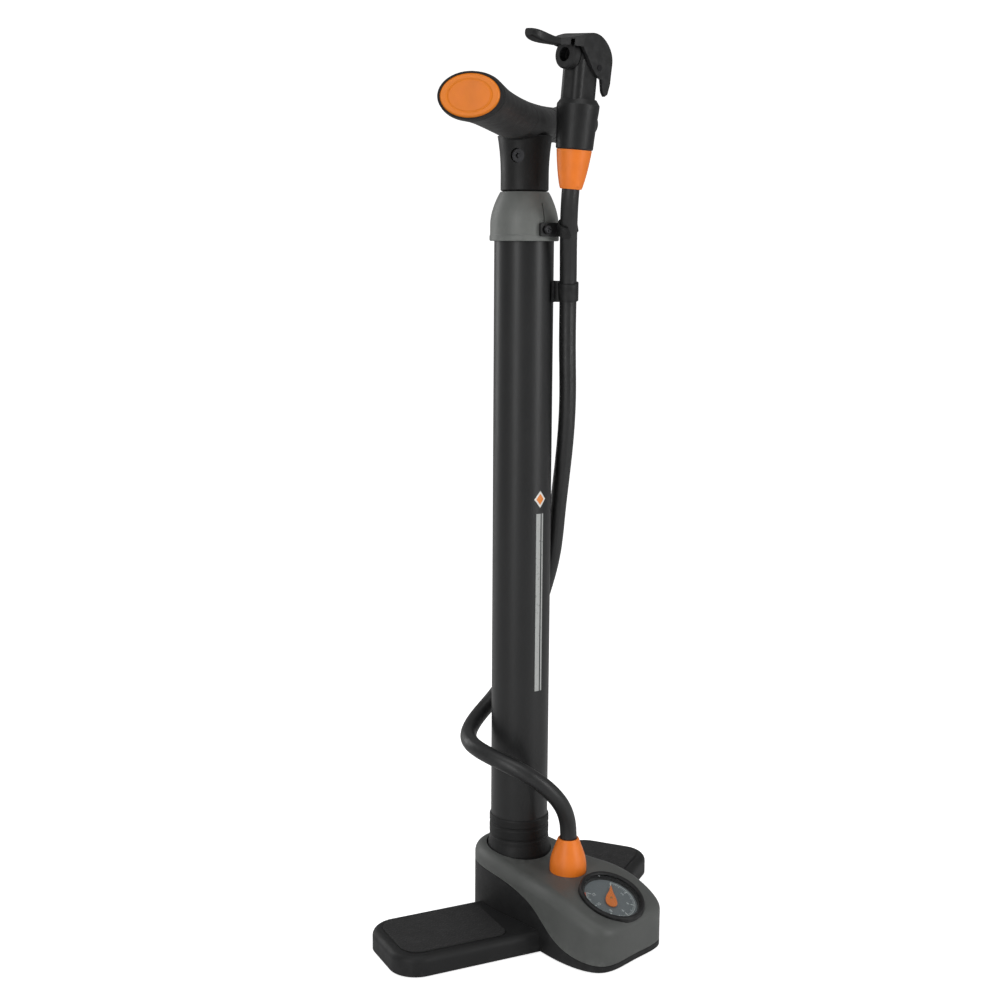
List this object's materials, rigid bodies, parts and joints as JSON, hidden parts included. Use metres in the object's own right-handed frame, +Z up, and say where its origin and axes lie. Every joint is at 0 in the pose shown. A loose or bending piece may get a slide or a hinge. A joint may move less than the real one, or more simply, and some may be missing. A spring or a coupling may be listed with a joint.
{
  "type": "floor bicycle pump",
  "caption": "Upright floor pump for bicycle tyres: barrel on a two-footed base with a built-in pressure gauge, T-handle on a chromed rod, and a hose with a levered valve head.",
  "frame": {"origin": "on the ground, under the barrel's axis", "axes": "+Z up along the barrel; X across the two feet; -Y towards the nose that holds the gauge"},
  "size_m": [0.252, 0.1717, 0.606],
  "materials": {
    "base_plastic": "satin",
    "cover_plastic": "satin",
    "tread_rubber": "matte",
    "sole_rubber": "matte",
    "fixings": "satin",
    "barrel_paint": "satin",
    "inner_plastic": "satin",
    "seal_rubber": "matte",
    "spring_steel": "bright",
    "brass_fittings": "satin",
    "boot_plastic": "satin",
    "hose_rubber": "satin",
    "dial_face": "matte",
    "needle_paint": "satin",
    "lens": "clear",
    "clip_plastic": "satin",
    "rod_chrome": "polished",
    "handle_plastic": "satin",
    "grip_rubber": "matte",
    "cap_plastic": "satin",
    "head_plastic": "satin"
  },
  "bodies": {
    "base": {"base_body": "base_plastic", "base_cover": "cover_plastic", "foot_tread_left": "tread_rubber", "foot_tread_right": "tread_rubber", "rubber_soles": "sole_rubber", "base_screws": "fixings", "barrel_socket": "base_plastic", "barrel": "barrel_paint", "valve_seat": "inner_plastic", "seat_seal": "seal_rubber", "air_manifold": "inner_plastic", "gauge_pipe": "brass_fittings", "hose_fitting_base": "brass_fittings", "hose_boot_base": "boot_plastic", "hose": "hose_rubber", "hose_boot_head": "boot_plastic", "hose_fitting_head": "brass_fittings", "gauge_case": "base_plastic", "gauge_dial": "dial_face", "bourdon_tube": "brass_fittings", "gauge_movement": "brass_fittings", "gauge_lens": "lens", "gauge_bezel": "base_plastic", "top_collar": "cover_plastic", "rod_bush": "inner_plastic", "rod_wiper": "seal_rubber", "collar_hose_clip": "clip_plastic", "clip_screw": "fixings", "barrel_hose_clip": "clip_plastic", "head_body": "head_plastic", "head_mouth_cap": "head_plastic", "valve_gasket": "seal_rubber", "lever_pin": "fixings"},
    "piston": {"piston_body": "inner_plastic", "piston_seal": "seal_rubber", "piston_retainer": "inner_plastic"},
    "handle": {"piston_rod": "rod_chrome", "rod_foot": "fixings", "top_bumper": "seal_rubber", "handle_core": "handle_plastic", "grip_left": "grip_rubber", "grip_right": "grip_rubber", "end_cap_left": "cap_plastic", "end_cap_right": "cap_plastic", "handle_bolt": "fixings", "handle_nut": "fixings"},
    "lever": {"head_lever": "head_plastic"},
    "plunger": {"head_plunger": "inner_plastic"},
    "sector": {"gauge_sector": "brass_fittings"},
    "needle": {"gauge_needle": "needle_paint", "gauge_pinion": "brass_fittings"},
    "valve_disc": {"check_valve_disc": "seal_rubber", "check_valve_spring": "spring_steel"}
  },
  "joints": [
    {"name": "stroke", "type": "slide", "parent": "base", "child": "piston", "axis": [0, 0, 1], "range_m": [0, 0.42]},
    {"name": "handle_turn", "type": "hinge", "parent": "piston", "child": "handle", "pos_m": [0, 0, 0.54], "axis": [0, 0, 1], "range_deg": [-60, 18]},
    {"name": "lever_lift", "type": "hinge", "parent": "base", "child": "lever", "pos_m": [0.00465, -0.04823, 0.5846], "axis": [0.0349, 0.9963, 0.0791], "range_deg": [0, 90]},
    {"name": "plunger_press", "type": "slide", "parent": "base", "child": "plunger", "axis": [-0.9991, 0.0327, 0.0284], "range_m": [0, 0.003]},
    {"name": "sector_swing", "type": "hinge", "parent": "base", "child": "sector", "pos_m": [0, -0.09306, 0.03018], "axis": [0, -0.3746, 0.9272], "range_deg": [0, 47.92]},
    {"name": "needle_sweep", "type": "hinge", "parent": "base", "child": "needle", "pos_m": [0, -0.08379, 0.03393], "axis": [0, -0.3746, 0.9272], "range_deg": [-270.5, 0.5]},
    {"name": "check_valve_open", "type": "slide", "parent": "base", "child": "valve_disc", "axis": [0, 0, -1], "range_m": [0, 0.0015], "deforming": ["check_valve_spring"]}
  ],
  "couplings": [
    {"joint": "plunger_press", "follows": "lever_lift", "m_per_rad": 0.0019098},
    {"joint": "needle_sweep", "follows": "sector_swing", "ratio": -5.6338}
  ]
}
